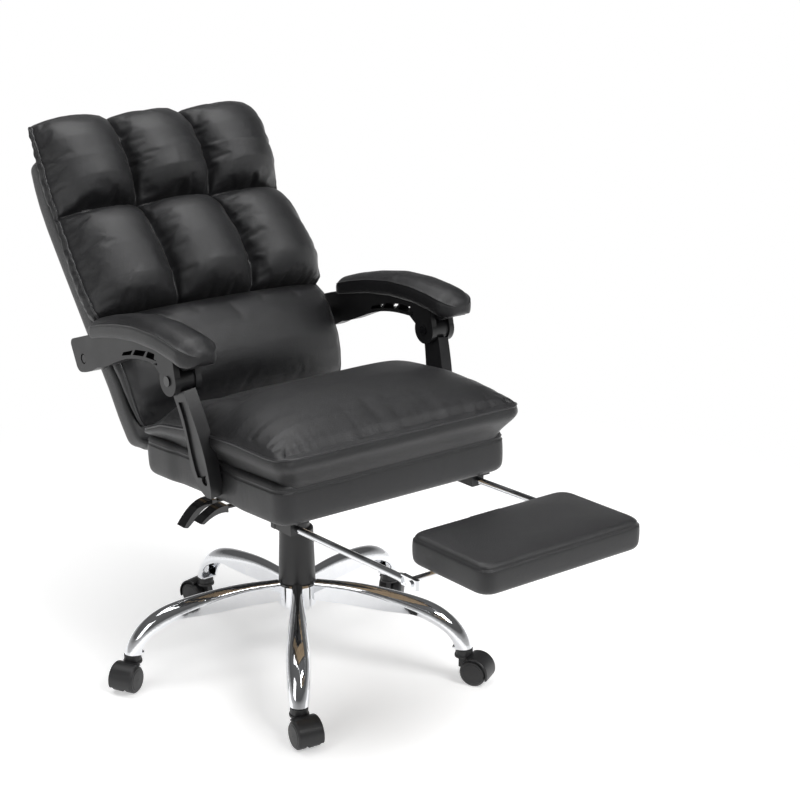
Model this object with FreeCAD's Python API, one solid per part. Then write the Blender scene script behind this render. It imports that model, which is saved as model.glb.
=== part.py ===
import FreeCAD, Part
import math
import os

V = FreeCAD.Vector

# Reclining office chair with a slide-out footrest. Millimetres, +Z up, origin on the floor
# under the gas lift. The chair's front faces -Y and its user's right hand is at -X.
# It is drawn as the photograph shows it: back leant back, footrest out and open.

os.makedirs("parts", exist_ok=True)

# Running and seating clearances
RUN = 0.06
STEEL = 3.0

# Five-leg base
LEG_COUNT = 5
LEG_FIRST = 163.13
LEG_STEP = 360.0 / LEG_COUNT
STEM_RADIUS = 320.0
LEG_WALL = 2.5
HUB_R = 38.0
HUB_LOW = 118.0
HUB_TOP = 162.0

# Gas lift and its cover
GAS_R = 25.0
GAS_WALL = 2.0
GAS_TAPER = 0.6
GAS_LOW = 110.0
GAS_TOP = 348.0
TUBE_R = 14.0
TUBE_WALL = 2.0
TUBE_LOW = 134.0
ROD_R = 5.0
COVER_LOW_R = 34.5
COVER_TOP_R = 31.75
COVER_TOP = 270.0

# Casters
WHEEL_R = 25.0
WHEEL_W = 18.5
WEB_T = 9.0
CASTER_TRAIL = 24.0
AXLE_R = 4.0
STEM_R = 5.5
SOCKET_R = 8.0
LEG_END_Z = 66.0
CASTER_TURNS = (-150.0, -100.0, -62.0, 40.0, 105.0)

# Seat
SEAT_PITCH = -2.83
SEAT_Z = 399.4
SEAT_HALF = 238.5
SEAT_FRONT = -307.0
SEAT_REAR = 128.0
BASE_T = 66.3
BOARD_T = 12.0
BOARD_INSET = 22.0
BASE_CORNER = 42.0
CUSHION_HALF = SEAT_HALF + 9.5

# Mechanism under the seat
PLATE_HALF = 100.0
TRAY_HALF = 60.0
TRAY_FRONT = -100.0
TRAY_REAR = 105.0
TRAY_DEPTH = 42.0
SOCKET_OUT = 20.0

# Recline hinge
HINGE_Y = 165.0
HINGE_Z = 335.0
HINGE_PIN_R = 6.0
CHEEK_X = 80.0

# Armrest linkage
STRUT_FOOT = (-113.0, 447.0)
ARM_PIVOT = (-66.0, 618.0)
ARM_REAR = (258.0, 586.0)
STRUT_T = 24.0
STRUT_LEAN = 8.0
STRUT_IN = SEAT_HALF + 1.5
ARM_MID = STRUT_IN + 35.0
ARM_T = 26.0
DISC_R = 26.0
CHEEK_T = 11.0
EYE_T = 29.0
PIVOT_R = 5.0
STRUT_BOLT_R = 4.0
REAR_BOLT_R = 4.0
REAR_PLAY = 1.5

# Back
SHELL_T = 55.0
BACK_GAP = 0.6
BRACKET_HALF = 72.0
BRACKET_T = 5.0

# Footrest
RAIL_X = 195.0
RAIL_R = 6.0
RAIL_WALL = 1.2
RAIL_FRONT = -556.0
RAIL_LEN = 336.0
RAIL_PITCH = 1.2
RAIL_Z = 402.7
BAR_Y = -565.0
BAR_R = 5.0
PAD_HALF = 162.3
PAD_BACK = -530.0
PAD_DEPTH = 177.6
PAD_T = 47.8
PAD_LOW = 412.0

# Levers
LEVER_R = 4.0
LEVER_GRIP_X = -212.0
LEVER_PIVOT_X = -48.0
LEVER_PIVOT_R = 3.0
LEVER_EYE_T = 9.6
LEVER_Z = 374.0
# Each lever: y, x of its tip, drop of its tip
HEIGHT_LEVER = (-72.0, -257.0, 15.0)
RECLINE_LEVER = (-34.0, -268.0, 31.0)


# Small shape helpers
def cyl(r, h, at, along=(0, 0, 1)):
    return Part.makeCylinder(r, h, V(*at), V(*along))


def ring(ro, ri, h, at, along=(0, 0, 1)):
    return cyl(ro, h, at, along).cut(cyl(ri, h, at, along))


def xpin(r, x0, x1, y, z):
    return cyl(r, x1 - x0, (x0, y, z), (1, 0, 0))


def box(x0, x1, y0, y1, z0, z1):
    return Part.makeBox(x1 - x0, y1 - y0, z1 - z0, V(x0, y0, z0))


def join(shapes):
    first = shapes[0]
    return first.fuse(shapes[1:]).removeSplitter() if len(shapes) > 1 else first


def revolve(points, at=(0, 0, 0), along=(0, 0, 1)):
    wire = Part.makePolygon([V(r, 0, z) for r, z in points + points[:1]])
    solid = Part.Face(wire).revolve(V(0, 0, 0), V(0, 0, 1), 360)
    solid.Placement = FreeCAD.Placement(V(*at), FreeCAD.Rotation(V(0, 0, 1), V(*along)))
    return solid


def turned(shape, at, axis, degrees):
    copy = shape.copy()
    copy.rotate(V(*at), V(*axis), degrees)
    return copy


def mirrored(shape):
    return shape.mirror(V(0, 0, 0), V(1, 0, 0))


def seat_tilt(shape):
    return turned(shape, (0, 0, SEAT_Z), (1, 0, 0), SEAT_PITCH)


def plate_yz(points, x0, x1):
    wire = Part.makePolygon([V(x0, y, z) for y, z in points + points[:1]])
    return Part.Face(wire).extrude(V(x1 - x0, 0, 0))


def outline_yz(edges, x0, x1):
    parts = []
    for edge in edges:
        points = [V(x0, y, z) for y, z in edge]
        if len(points) == 2:
            parts.append(Part.makeLine(points[0], points[1]))
        else:
            curve = Part.BSplineCurve()
            curve.interpolate(points)
            parts.append(curve.toShape())
    return Part.Face(Part.Wire(parts)).extrude(V(x1 - x0, 0, 0))


def rounded(shape, radius, wanted):
    edges = [e for e in shape.Edges if wanted(e)]
    return shape.makeFillet(radius, edges)


def upright(edge):
    a, b = edge.Vertexes[0].Point, edge.Vertexes[-1].Point
    return abs(a.x - b.x) < 1e-6 and abs(a.y - b.y) < 1e-6


def arc(a, m, b):
    return Part.Arc(a, m, b).toShape()


def save(name, shape):
    shape = shape if len(shape.Solids) > 1 else shape.Solids[0]
    shape.exportStep("parts/" + name + ".step")


# Leg stations: top edge (r, z), lower edge (r, z), width
LEG_STATIONS = (
    ((HUB_R - 2, 168), (HUB_R - 2, 130), 22),
    ((STEM_RADIUS * 0.281, 169), (STEM_RADIUS * 0.275, 128), 24),
    ((STEM_RADIUS * 0.469, 166), (STEM_RADIUS * 0.4625, 126), 30),
    ((STEM_RADIUS * 0.641, 158.5), (STEM_RADIUS * 0.625, 126.5), 37),
    ((STEM_RADIUS * 0.781, 148.5), (STEM_RADIUS * 0.744, 125), 42),
    ((STEM_RADIUS - 36, 133), (STEM_RADIUS - 54, 114), 43),
    ((STEM_RADIUS - 10, 111), (STEM_RADIUS - 32, 100), 41),
    ((STEM_RADIUS + 6, 88), (STEM_RADIUS - 18, 83), 38),
    ((STEM_RADIUS + 15, LEG_END_Z), (STEM_RADIUS - 12.5, LEG_END_Z), 35),
)


def leg_loft(wall, drop):
    wires = []
    for (rt, zt), (rb, zb), width in LEG_STATIONS:
        up = V(rt - rb, 0, zt - zb)
        height = up.Length - wall
        up.normalize()
        half = width / 2.0 - wall
        low = V(rb, 0, zb) - up * drop
        arch = min(half * 0.95, height * 0.75)

        def at(y, h):
            return low + V(0, y, 0) + up * (h + drop)

        a, b = at(-half, -drop), at(half, -drop)
        c, d = at(half, height - arch), at(-half, height - arch)
        wires.append(Part.Wire([
            Part.makeLine(a, b), Part.makeLine(b, c),
            arc(c, at(0, height), d), Part.makeLine(d, a)]))
    return Part.makeLoft(wires, True, False)


leg_outer = leg_loft(0.0, 0.0)
leg_inner = leg_loft(LEG_WALL, 6.0)
leg = leg_outer.cut(leg_inner)
leg = leg.cut(cyl(HUB_R, 100, (0, 0, 90)))
leg = leg.cut(box(STEM_RADIUS - 30, STEM_RADIUS + 25, -30, 30, 40, LEG_END_Z))
foot_plate = box(STEM_RADIUS - 24, STEM_RADIUS + 25, -30, 30, LEG_END_Z + 1, LEG_END_Z + 4)
socket = join([foot_plate, cyl(SOCKET_R, 20, (STEM_RADIUS, 0, LEG_END_Z + 1)),
               Part.makeSphere(SOCKET_R, V(STEM_RADIUS, 0, LEG_END_Z + 21))])
socket = socket.common(leg_inner)
socket = socket.cut(cyl(STEM_R + RUN, 24, (STEM_RADIUS, 0, LEG_END_Z - 2)))
legs, sockets = [], []
for i in range(LEG_COUNT):
    legs.append(turned(leg, (0, 0, 0), (0, 0, 1), LEG_FIRST + LEG_STEP * i))
    sockets.append(turned(socket, (0, 0, 0), (0, 0, 1), LEG_FIRST + LEG_STEP * i))
save("base_legs", Part.makeCompound(legs))
save("caster_sockets", Part.makeCompound(sockets))

# Hub with its tapered bore, and the gas lift's outer tube seated in it
save("base_hub", revolve([
    (GAS_R - GAS_TAPER, HUB_LOW - 6), (31, HUB_LOW - 6), (32, HUB_LOW - 4), (32, HUB_LOW),
    (HUB_R - 2, HUB_LOW), (HUB_R, HUB_LOW + 2), (HUB_R, HUB_TOP - 3), (HUB_R - 3, HUB_TOP),
    (GAS_R, HUB_TOP)]))
save("gas_cylinder", revolve([
    (ROD_R + RUN, GAS_LOW), (GAS_R - GAS_TAPER - 0.02, GAS_LOW),
    (GAS_R - GAS_TAPER - 0.02, HUB_LOW - 6), (GAS_R - 0.02, HUB_TOP),
    (GAS_R - 0.02, GAS_TOP), (GAS_R - GAS_WALL, GAS_TOP),
    (GAS_R - GAS_WALL, GAS_LOW + 4), (ROD_R + RUN, GAS_LOW + 4)]))
save("guide_bushing", revolve([
    (TUBE_R + RUN, GAS_TOP - 78), (GAS_R - GAS_WALL, GAS_TOP - 78),
    (GAS_R - GAS_WALL, GAS_TOP), (GAS_R - 0.5, GAS_TOP), (GAS_R - 0.5, GAS_TOP + 3),
    (TUBE_R + RUN, GAS_TOP + 3)]))
save("column_cover", revolve([
    (COVER_LOW_R - 2.5, HUB_TOP), (COVER_LOW_R - 1.5, HUB_TOP),
    (COVER_LOW_R, HUB_TOP + 3), (COVER_TOP_R, COVER_TOP - 2),
    (COVER_TOP_R - 1.5, COVER_TOP), (GAS_R + 0.2, COVER_TOP),
    (GAS_R + 0.2, COVER_TOP - 4), (COVER_TOP_R - 2.5, COVER_TOP - 4)]))

# Piston rod standing on its thrust bearing: this is what the seat swivels on
PISTON_TOP = GAS_TOP - 18
save("piston_rod", revolve([
    (0, GAS_LOW - 3), (ROD_R, GAS_LOW - 3), (ROD_R, PISTON_TOP - 10),
    (TUBE_R - TUBE_WALL - RUN, PISTON_TOP - 10), (TUBE_R - TUBE_WALL - RUN, PISTON_TOP),
    (0, PISTON_TOP)]))
save("thrust_bearing", revolve([
    (ROD_R, GAS_LOW + 4.1), (13, GAS_LOW + 4.1), (14, GAS_LOW + 6), (14, GAS_LOW + 11),
    (13, GAS_LOW + 12), (ROD_R, GAS_LOW + 12)]))

# Pressure tube: slides on the piston and carries the seat on its tapered head
TUBE_TOP = SEAT_Z - 9
save("pressure_tube", revolve([
    (ROD_R + RUN, TUBE_LOW), (TUBE_R - 1, TUBE_LOW), (TUBE_R, TUBE_LOW + 1),
    (TUBE_R, GAS_TOP + 8), (TUBE_R - 0.8, TUBE_TOP), (3.1, TUBE_TOP),
    (3.1, TUBE_TOP - 6), (TUBE_R - TUBE_WALL, TUBE_TOP - 6),
    (TUBE_R - TUBE_WALL, TUBE_LOW + 8), (ROD_R + RUN, TUBE_LOW + 8)]))

# Seat mechanism: pressed tray, mounting plate and tapered socket
plate = box(-PLATE_HALF, PLATE_HALF, -120, 126, SEAT_Z - STEEL, SEAT_Z)
plate = rounded(plate, 12, upright)
tray = box(-TRAY_HALF, TRAY_HALF, TRAY_FRONT, TRAY_REAR, SEAT_Z - TRAY_DEPTH, SEAT_Z - STEEL)
tray = rounded(tray, 14, upright)
hollow = box(-TRAY_HALF + STEEL, TRAY_HALF - STEEL, TRAY_FRONT + STEEL, TRAY_REAR - STEEL,
             SEAT_Z - TRAY_DEPTH + STEEL, SEAT_Z - STEEL)
tray = tray.cut(rounded(hollow, 11, upright))
boss = cyl(SOCKET_OUT, SEAT_Z - GAS_TOP - 10, (0, 0, GAS_TOP + 10))
boss = boss.common(box(-30, 30, -30, 30, GAS_TOP + 10, SEAT_Z - STEEL))
housing = join([seat_tilt(plate), seat_tilt(tray), boss])
housing = housing.cut(revolve([
    (0, GAS_TOP), (TUBE_R + 0.05, GAS_TOP), (TUBE_R + 0.05, GAS_TOP + 8),
    (TUBE_R - 0.75, TUBE_TOP + 0.1), (0, TUBE_TOP + 0.1)]))
for lever_y, _, _ in (HEIGHT_LEVER, RECLINE_LEVER):
    housing = housing.cut(box(-TRAY_HALF - 4, -TRAY_HALF + 6, lever_y - 7, lever_y + 7,
                              LEVER_Z - 7, LEVER_Z + 13))
    lugs = []
    plate_mid = SEAT_Z - STEEL / 2.0 + lever_y * math.tan(math.radians(SEAT_PITCH))
    for low in (lever_y - LEVER_EYE_T / 2.0 - 3.3, lever_y + LEVER_EYE_T / 2.0 + 0.3):
        lugs.append(box(LEVER_PIVOT_X - 7, LEVER_PIVOT_X + 7, low, low + 3,
                        plate_mid - TRAY_DEPTH + STEEL, plate_mid))
    lugs.append(cyl(LEVER_PIVOT_R, LEVER_EYE_T + 6,
                    (LEVER_PIVOT_X, lever_y - LEVER_EYE_T / 2.0 - 3, LEVER_Z), (0, 1, 0)))
    housing = join([housing] + lugs)
BOLT_SPOTS = [(sx * 84.0, y) for sx in (-1, 1) for y in (-100.0, 40.0)]
for x, y in BOLT_SPOTS:
    housing = housing.cut(seat_tilt(cyl(4.2, 8, (x, y, SEAT_Z - 6))))
save("mechanism_housing", housing)
bolts = []
for x, y in BOLT_SPOTS:
    head = cyl(8.5, 1.5, (x, y, SEAT_Z - STEEL - 1.5))
    cap = cyl(6.5, 4.0, (x, y, SEAT_Z - STEEL - 5.5))
    shank = cyl(4.0, 13, (x, y, SEAT_Z - STEEL - 1.5))
    bolts.append(seat_tilt(join([head, cap, shank])))
save("seat_bolts", Part.makeCompound(bolts))

# Seat board and the upholstered seat base around it
board = box(-SEAT_HALF + BOARD_INSET, SEAT_HALF - BOARD_INSET,
            SEAT_FRONT + BOARD_INSET, SEAT_REAR - BOARD_INSET, SEAT_Z, SEAT_Z + BOARD_T)
board = rounded(board, BASE_CORNER - BOARD_INSET, upright)
pad = box(-SEAT_HALF, SEAT_HALF, SEAT_FRONT, SEAT_REAR, SEAT_Z, SEAT_Z + BASE_T)
pad = rounded(pad, BASE_CORNER, upright)
pad = rounded(pad, 8, lambda e: e.CenterOfMass.z > SEAT_Z + BASE_T - 0.1)
pad = rounded(pad, 4, lambda e: e.CenterOfMass.z < SEAT_Z + 0.1)
pad = pad.cut(board)
board = board.copy()
for x, y in BOLT_SPOTS:
    board = board.cut(cyl(4.0, 10, (x, y, SEAT_Z - 1)))
save("seat_board", seat_tilt(board))
STRUT_BOLT_IN = SEAT_HALF - 22
base_pad = seat_tilt(pad)
for side in (-1, 1):
    x0 = min(side * STRUT_BOLT_IN, side * (SEAT_HALF + 5))
    base_pad = base_pad.cut(xpin(STRUT_BOLT_R, x0, x0 + 27, *STRUT_FOOT))
save("seat_base_pad", base_pad)

# Seat cushion stations: y, half width, half width on the base, low z, seam z, crown z
TOP = SEAT_Z + BASE_T + 0.2
CUSHION_STATIONS = (
    (-336, CUSHION_HALF - 40, CUSHION_HALF - 46, TOP + 36, TOP + 50, TOP + 62),
    (-328, CUSHION_HALF - 8, CUSHION_HALF - 24, TOP + 12, TOP + 52, TOP + 82),
    (-290, CUSHION_HALF, CUSHION_HALF - 14, TOP, TOP + 53, TOP + 104),
    (-200, CUSHION_HALF, CUSHION_HALF - 13, TOP, TOP + 56, TOP + 114),
    (-70, CUSHION_HALF - 1, CUSHION_HALF - 13, TOP, TOP + 55, TOP + 114),
    (40, CUSHION_HALF - 2, CUSHION_HALF - 13, TOP, TOP + 42, TOP + 92),
    (100, CUSHION_HALF - 4, CUSHION_HALF - 16, TOP, TOP + 17, TOP + 52),
    (127, CUSHION_HALF - 12, CUSHION_HALF - 24, TOP, TOP + 9, TOP + 26),
)


def cushion_section(y, half, low_half, low, seam, crown):
    rise = crown - seam

    def at(x, z):
        return V(x, y, z)

    edges = [Part.makeLine(at(-low_half, low), at(low_half, low))]
    mid = (low + seam) / 2.0
    belly = (low_half + half) / 2.0 + 3.0
    edges.append(arc(at(low_half, low), at(belly, mid), at(half, seam)))
    edges.append(arc(at(half, seam), at(half - 14, seam + 0.42 * rise),
                     at(half - 48, seam + 0.72 * rise)))
    edges.append(arc(at(half - 48, seam + 0.72 * rise), at(0, crown),
                     at(48 - half, seam + 0.72 * rise)))
    edges.append(arc(at(48 - half, seam + 0.72 * rise), at(14 - half, seam + 0.42 * rise),
                     at(-half, seam)))
    edges.append(arc(at(-half, seam), at(-belly, mid), at(-low_half, low)))
    return Part.Wire(edges)


cushion = Part.makeLoft([cushion_section(*s) for s in CUSHION_STATIONS], True, False)
cushion = cushion.cut(box(-CUSHION_HALF - 20, CUSHION_HALF + 20, SEAT_FRONT - 80, SEAT_REAR + 40,
                          TOP - 60, TOP))
cushion = seat_tilt(cushion)
# The rear face stays clear of the lumbar cushion while the back comes upright
CLEAR_BACK = [(44, 760), (44, 590), (54, 556), (88, 492), (112, 452), (131, 425),
              (260, 425), (260, 760)]
cushion = cushion.cut(plate_yz(CLEAR_BACK, -234, 234))
save("seat_cushion", cushion)

# Back spine: rear face points (s, y, z, lean from upright)
SPINE = ((-40, 188.4, 365.6, 24.5), (0, 205, 402, 24.5), (70, 234, 465.7, 24.5),
         (128, 262, 516, 30.5), (192, 300, 568, 36.5), (278, 352, 636, 37.7),
         (373, 410, 711, 38.2), (466, 466, 785, 35.5), (512, 491.5, 823, 32.0),
         (553, 510.5, 860, 26.0), (594, 525.5, 898, 21.0), (700, 562, 997, 20.0))


def spine(s):
    for a, b in zip(SPINE, SPINE[1:]):
        if s <= b[0]:
            f = (s - a[0]) / (b[0] - a[0])
            y, z, lean = [a[k] + (b[k] - a[k]) * f for k in (1, 2, 3)]
            lean = math.radians(lean)
            return y, z, lean
    raise ValueError("beyond the spine")


def on_spine(s, x, n):
    y, z, lean = spine(s)
    return V(x, y - n * math.cos(lean), z + n * math.sin(lean))


# Shell stations: s, half width, rear n, front n
SHELL_STATIONS = (
    (0, 226, 8, SHELL_T - 10), (14, 234, 0, SHELL_T), (70, 242, 0, SHELL_T),
    (128, 245, 0, SHELL_T), (192, 247, 0, SHELL_T), (278, 248, 0, SHELL_T),
    (373, 249, 0, SHELL_T), (466, 250, 0, SHELL_T), (545, 250, 0, SHELL_T),
    (594, 249, 0, SHELL_T - 5), (614, 240, 9, SHELL_T - 14),
)


def shell_section(s, half, rear, front):
    deep = front - rear
    rr = min(20.0, 0.45 * deep)
    rf = min(7.0, 0.2 * deep)

    def at(x, n):
        return on_spine(s, x, n)

    k = 0.2929
    right = [
        Part.makeLine(at(-half + rr, rear), at(half - rr, rear)),
        arc(at(half - rr, rear), at(half - rr * k, rear + rr * k), at(half, rear + rr)),
        Part.makeLine(at(half, rear + rr), at(half, front - rf)),
        arc(at(half, front - rf), at(half - rf * k, front - rf * k), at(half - rf, front)),
        Part.makeLine(at(half - rf, front), at(-half + rf, front)),
        arc(at(-half + rf, front), at(-half + rf * k, front - rf * k), at(-half, front - rf)),
        Part.makeLine(at(-half, front - rf), at(-half, rear + rr)),
        arc(at(-half, rear + rr), at(-half + rr * k, rear + rr * k), at(-half + rr, rear)),
    ]
    return Part.Wire(right)


shell = Part.makeLoft([shell_section(*s) for s in SHELL_STATIONS], True, True)
shell_room = Part.makeLoft([shell_section(s, half + 0.4, rear - 0.4, front + 0.4)
                            for s, half, rear, front in SHELL_STATIONS], True, True)

# Tufted cushion: two rows of three puffs. s, half width, back n, edge n, channel n, crest n
BACK_N = SHELL_T + BACK_GAP
ROW_LOW = (
    (237, 240, BACK_N, 78, 98, 112), (248, 252, BACK_N, 86, 110, 150),
    (285, 258, BACK_N, 88, 122, 174), (345, 256, BACK_N, 84, 118, 172),
    (405, 250, BACK_N, 76, 106, 152), (446, 245, BACK_N, 72, 90, 120),
    (460, 243, BACK_N, 71, 84, 104),
)
ROW_TOP = (
    (460, 243, BACK_N, 71, 84, 104), (476, 246, BACK_N, 76, 94, 142),
    (515, 250, BACK_N, 82, 106, 166), (570, 250, BACK_N, 80, 102, 158),
    (620, 249, BACK_N, 72, 88, 130), (652, 247, BACK_N - 10, 60, 68, 92),
    (674, 241, BACK_N - 12, 50, 53, 62),
)


def puff_section(s, half, back, edge, channel, crest):
    third = half / 3.0

    def at(x, n):
        return on_spine(s, x, n)

    side = (back + edge) / 2.0
    edges = [Part.makeLine(at(-half + 10, back), at(half - 10, back))]
    edges.append(arc(at(half - 10, back), at(half - 1, side - 4), at(half, edge)))
    edges.append(arc(at(half, edge), at(2 * third + 6, crest - 6), at(third, channel)))
    edges.append(arc(at(third, channel), at(0, crest), at(-third, channel)))
    edges.append(arc(at(-third, channel), at(-2 * third - 6, crest - 6), at(-half, edge)))
    edges.append(arc(at(-half, edge), at(-half + 1, side - 4), at(-half + 10, back)))
    return Part.Wire(edges)


rows = [Part.makeLoft([puff_section(*s) for s in row], True, False)
        for row in (ROW_LOW, ROW_TOP)]
tufted = rows[0].fuse(rows[1]).cut(shell_room)
save("back_cushion", tufted)

# Lumbar cushion: s, half width, back n, edge n, crest n
LUMBAR = (
    (44, 212, BACK_N, 60, 64), (58, 219, BACK_N, 66, 86), (78, 225, BACK_N, 73, 114),
    (104, 231, BACK_N, 80, 138), (134, 237, BACK_N, 84, 150), (175, 242, BACK_N, 86, 154),
    (212, 243, BACK_N, 84, 142), (234, 238, BACK_N, 78, 108),
)


def lumbar_section(s, half, back, edge, crest):

    def at(x, n):
        return on_spine(s, x, n)

    knee = edge + 0.72 * (crest - edge)
    return Part.Wire([
        Part.makeLine(at(-half + 8, back), at(half - 8, back)),
        arc(at(half - 8, back), at(half - 1, (back + edge) / 2.0), at(half, edge)),
        arc(at(half, edge), at(half - 22, edge + 0.46 * (crest - edge)), at(half - 62, knee)),
        arc(at(half - 62, knee), at(0, crest), at(62 - half, knee)),
        arc(at(62 - half, knee), at(22 - half, edge + 0.46 * (crest - edge)), at(-half, edge)),
        arc(at(-half, edge), at(1 - half, (back + edge) / 2.0), at(8 - half, back)),
    ])


lumbar = Part.makeLoft([lumbar_section(*s) for s in LUMBAR], True, False)
save("lumbar_cushion", lumbar)

# Steel back bracket: plate bolted flat on the shell's lower rear, two arms to the hinge
lean = math.radians(24.5)
UP = (math.sin(lean), math.cos(lean))


def rear_at(s, n):
    y, z, _ = spine(s)
    return (y - n * UP[1], z + n * UP[0])


SUNK = 2.0
low_y, low_z = rear_at(6, SUNK)
plate_pts = [(low_y, low_z), (low_y + 112 * UP[0], low_z + 112 * UP[1])]
plate_pts += [(plate_pts[1][0] + BRACKET_T * UP[1], plate_pts[1][1] - BRACKET_T * UP[0]),
              (plate_pts[0][0] + BRACKET_T * UP[1], plate_pts[0][1] - BRACKET_T * UP[0])]
back_plate = plate_yz(plate_pts, -BRACKET_HALF, BRACKET_HALF)
foot_y, foot_z = plate_pts[3]
arm_pts = [(HINGE_Y - 16, HINGE_Z - 4), (HINGE_Y - 4, HINGE_Z - 16), (HINGE_Y + 26, HINGE_Z - 22),
           (HINGE_Y + 36, HINGE_Z - 14), (foot_y + 14, foot_z - 10),
           (foot_y + 14 + 90 * UP[0], foot_z + 90 * UP[1]),
           (foot_y - 1 + 100 * UP[0], foot_z + 100 * UP[1]), (foot_y - 1, foot_z),
           (HINGE_Y - 12, HINGE_Z + 16)]
arms = [plate_yz(arm_pts, -BRACKET_HALF, -BRACKET_HALF + BRACKET_T),
        plate_yz(arm_pts, BRACKET_HALF - BRACKET_T, BRACKET_HALF)]
bracket = join([back_plate] + arms)
bracket = bracket.cut(xpin(HINGE_PIN_R + RUN, -100, 100, HINGE_Y, HINGE_Z))
shell = shell.cut(back_plate)
BACK_BOLT_SPOTS = ((-45, 30), (45, 30), (0, 92))
back_bolts = []
for x, s in BACK_BOLT_SPOTS:
    y, z = rear_at(6, SUNK)
    y, z = y + (s - 6) * UP[0], z + (s - 6) * UP[1]
    inward = V(0, -UP[1], UP[0])
    start = V(x, y, z)
    shank = Part.makeCylinder(4, 28, start - inward * (BRACKET_T - 0.5), inward)
    head = Part.makeCylinder(7.5, 4.5, start - inward * (BRACKET_T + 4.5), inward)
    bolt = join([shank, head])
    back_bolts.append(bolt)
    bracket = bracket.cut(shank)
    shell = shell.cut(shank)
save("back_bolts", Part.makeCompound(back_bolts))

# Hinge bracket on the seat and the pin through both
hb_top = box(-CHEEK_X, CHEEK_X, 108, 126, SEAT_Z - STEEL - 5, SEAT_Z - STEEL)
hb_top = seat_tilt(hb_top)
cheek_pts = [(112, 390), (152, 388.0), (HINGE_Y + 15, HINGE_Z + 4), (HINGE_Y + 12, HINGE_Z - 12),
             (HINGE_Y - 2, HINGE_Z - 15), (HINGE_Y - 15, HINGE_Z - 6), (112, 372)]
cheeks = [plate_yz(cheek_pts, -CHEEK_X, -CHEEK_X + 5), plate_yz(cheek_pts, CHEEK_X - 5, CHEEK_X)]
hinge_bracket = join([hb_top] + cheeks)
hinge_bracket = hinge_bracket.cut(xpin(HINGE_PIN_R, -100, 100, HINGE_Y, HINGE_Z))
save("hinge_bracket", hinge_bracket)
pin = join([xpin(HINGE_PIN_R, -CHEEK_X, CHEEK_X, HINGE_Y, HINGE_Z),
            xpin(10, -CHEEK_X - 5, -CHEEK_X, HINGE_Y, HINGE_Z),
            xpin(10, CHEEK_X, CHEEK_X + 5, HINGE_Y, HINGE_Z)])
save("hinge_pin", pin)

# Recline lock rod hanging from the bracket's user-left arm
LOCK_ROD_R = 6.5
LOCK_ROD_LEN = 78.0
LOCK_X = BRACKET_HALF - BRACKET_T - LOCK_ROD_R - 1.0
LOCK_Y = HINGE_Y + 23.0
LOCK_Z = HINGE_Z - 9.0
lock_bolt = xpin(5, LOCK_X, BRACKET_HALF + 4, LOCK_Y, LOCK_Z)
lock_bar = cyl(LOCK_ROD_R, LOCK_ROD_LEN, (LOCK_X, LOCK_Y + 2.5, LOCK_Z + 9), (0, -20, -75))
bracket = bracket.cut(xpin(5, 0, 100, LOCK_Y, LOCK_Z))
save("recline_lock_rod", join([lock_bolt, lock_bar]))

# Armrest linkage, drawn for the user's left (+X) and mirrored
foot_y, foot_z = STRUT_FOOT
pivot_y, pivot_z = ARM_PIVOT
rear_y, rear_z = ARM_REAR
STRUT_LEN = math.hypot(pivot_y - foot_y, pivot_z - foot_z)
down = ((foot_y - pivot_y) / STRUT_LEN, (foot_z - pivot_z) / STRUT_LEN)


def strut_at(d, e):
    return (pivot_y + d * down[0] - e * down[1], pivot_z + d * down[1] + e * down[0])


front_side = [strut_at(*p) for p in ((16, -22), (40, -25), (88, -28), (130, -26), (165, -20),
                                     (190, -13), (206, -5))]
rear_side = [strut_at(*p) for p in ((204, 8), (192, 22), (172, 31), (150, 33), (120, 25),
                                    (88, 19), (40, 17), (16, 18))]
strut_edges = [front_side, [front_side[-1], rear_side[0]], rear_side, [rear_side[-1], front_side[0]]]
strut = outline_yz(strut_edges, STRUT_IN, STRUT_IN + STRUT_T)
groove_front = [strut_at(*p) for p in ((34, -15), (88, -19), (130, -17), (168, -10))]
groove_rear = [strut_at(*p) for p in ((168, 20), (130, 18), (88, 10), (34, 8))]
groove = outline_yz([groove_front, [groove_front[-1], groove_rear[0]], groove_rear,
                     [groove_rear[-1], groove_front[0]]], STRUT_IN + STRUT_T - 4,
                    STRUT_IN + STRUT_T + 2)
strut = strut.cut(groove)
strut = turned(strut, (STRUT_IN, foot_y, foot_z), (0, 1, 0), STRUT_LEAN)
strut = strut.cut(box(SEAT_HALF - 40, SEAT_HALF + 0.8, -200, 0, 380, 480))
eye_in = ARM_MID - EYE_T / 2.0
strut = strut.fuse(xpin(DISC_R - 4, eye_in, eye_in + EYE_T, *ARM_PIVOT)).removeSplitter()
strut = strut.cut(xpin(PIVOT_R + RUN, STRUT_IN - 40, ARM_MID + 45, *ARM_PIVOT))
strut = strut.cut(xpin(STRUT_BOLT_R + RUN, STRUT_IN - 40, ARM_MID + 45, *STRUT_FOOT))
strut = strut.cut(xpin(8.5, STRUT_IN + 14, ARM_MID + 45, *STRUT_FOOT))
save("arm_strut_left", strut)
save("arm_strut_right", mirrored(strut))
foot_bolt = join([xpin(STRUT_BOLT_R, STRUT_BOLT_IN, STRUT_IN + 16, *STRUT_FOOT),
                  xpin(7.5, STRUT_IN + 15, STRUT_IN + 19.5, *STRUT_FOOT)])
save("strut_bolts", Part.makeCompound([foot_bolt, mirrored(foot_bolt)]))

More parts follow.
